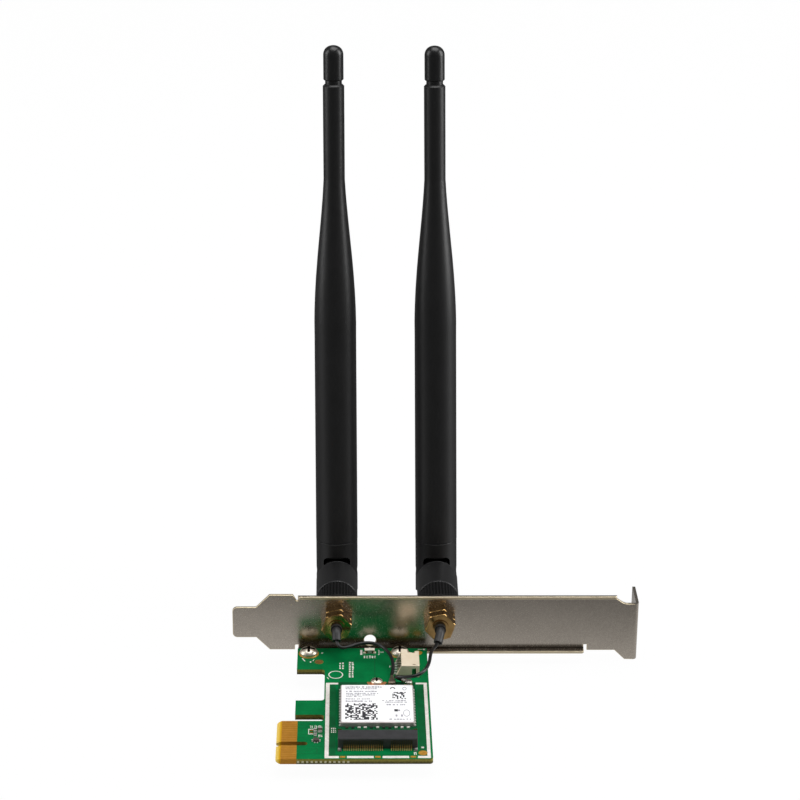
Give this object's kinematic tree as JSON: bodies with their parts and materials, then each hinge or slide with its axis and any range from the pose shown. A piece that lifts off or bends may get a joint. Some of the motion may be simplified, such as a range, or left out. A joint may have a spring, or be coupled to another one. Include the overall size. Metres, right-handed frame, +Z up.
{
  "type": "wireless network card",
  "caption": "Slot-in wireless network card: green board with edge contacts and a shielded radio module, a folded steel bracket and swivelling, tilting stick antennas.",
  "frame": {"origin": "middle of the key notch at the tips of the edge contacts, halfway through the board", "axes": "+X along the bracket from its tongue to its screw tab, +Y out through the bracket, +Z up from the component side"},
  "size_m": [0.12, 0.1223, 0.1727],
  "materials": {
    "board_lacquer": "green lacquered glass-fibre board",
    "gold_plate": "gold plating",
    "bracket_steel": "satin nickel-plated sheet steel",
    "nickel": "bright nickel plating",
    "brass": "bright machined brass",
    "shield_tin": "tinned sheet",
    "label_paper": "white printed label",
    "socket_black": "black moulded resin",
    "header_ivory": "ivory moulded resin",
    "led_white": "white moulded light",
    "jack_insulator": "white insulator",
    "sleeve_black": "shrunk black sleeve",
    "cable_black": "black cable jacket",
    "antenna_black": "satin black moulding"
  },
  "bodies": {
    "card": {"circuit_board": "board_lacquer", "edge_contacts": "gold_plate", "board_pads": "gold_plate", "slot_bracket": "bracket_steel", "bracket_screws": "nickel", "status_led": "led_white", "chip_parts": "socket_black", "module_board": "board_lacquer", "module_pad": "gold_plate", "module_shield": "shield_tin", "module_label": "label_paper", "module_chips": "socket_black", "module_socket": "socket_black", "socket_contacts": "gold_plate", "socket_clips": "nickel", "module_standoff": "brass", "module_screw": "nickel", "module_receptacles": "nickel", "jack_nuts": "brass", "lock_washers": "brass", "outer_nuts": "brass", "header_housing": "header_ivory", "header_pins": "nickel", "header_tabs": "nickel", "left_sleeve": "sleeve_black", "left_pigtail": "cable_black", "left_coax_plug": "nickel", "left_jack": "brass", "left_jack_insulator": "jack_insulator", "left_jack_contact": "gold_plate", "right_sleeve": "sleeve_black", "right_pigtail": "cable_black", "right_coax_plug": "nickel", "right_jack": "brass", "right_jack_insulator": "jack_insulator", "right_jack_contact": "gold_plate"},
    "left_nut": {"left_coupling_nut": "antenna_black"},
    "left_base": {"left_elbow": "antenna_black", "left_antenna_pin": "gold_plate", "left_hinge_pin": "nickel"},
    "left_antenna": {"left_fork": "antenna_black", "left_mast": "antenna_black", "left_tip_cap": "antenna_black", "left_radiator": "brass"},
    "right_nut": {"right_coupling_nut": "antenna_black"},
    "right_base": {"right_elbow": "antenna_black", "right_antenna_pin": "gold_plate", "right_hinge_pin": "nickel"},
    "right_antenna": {"right_fork": "antenna_black", "right_mast": "antenna_black", "right_tip_cap": "antenna_black", "right_radiator": "brass"}
  },
  "joints": [
    {"name": "left_nut_turn", "type": "hinge", "parent": "card", "child": "left_nut", "pos_m": [0.01635, 0.06515, 0.009], "axis": [0, 1, 0], "continuous": true},
    {"name": "left_swivel", "type": "hinge", "parent": "card", "child": "left_base", "pos_m": [0.01635, 0.06915, 0.009], "axis": [0, 1, 0], "range_deg": [-180, 3]},
    {"name": "left_tilt", "type": "hinge", "parent": "left_base", "child": "left_antenna", "pos_m": [0.01635, 0.08915, 0.009], "axis": [-1, 0, -0.007], "range_deg": [-8, 82]},
    {"name": "right_nut_turn", "type": "hinge", "parent": "card", "child": "right_nut", "pos_m": [0.04675, 0.06515, 0.009], "axis": [0, 1, 0], "continuous": true},
    {"name": "right_swivel", "type": "hinge", "parent": "card", "child": "right_base", "pos_m": [0.04675, 0.06915, 0.009], "axis": [0, 1, 0], "range_deg": [-3, 180]},
    {"name": "right_tilt", "type": "hinge", "parent": "right_base", "child": "right_antenna", "pos_m": [0.04675, 0.08915, 0.009], "axis": [-0.9999, 0, -0.0131], "range_deg": [-8, 82]}
  ]
}
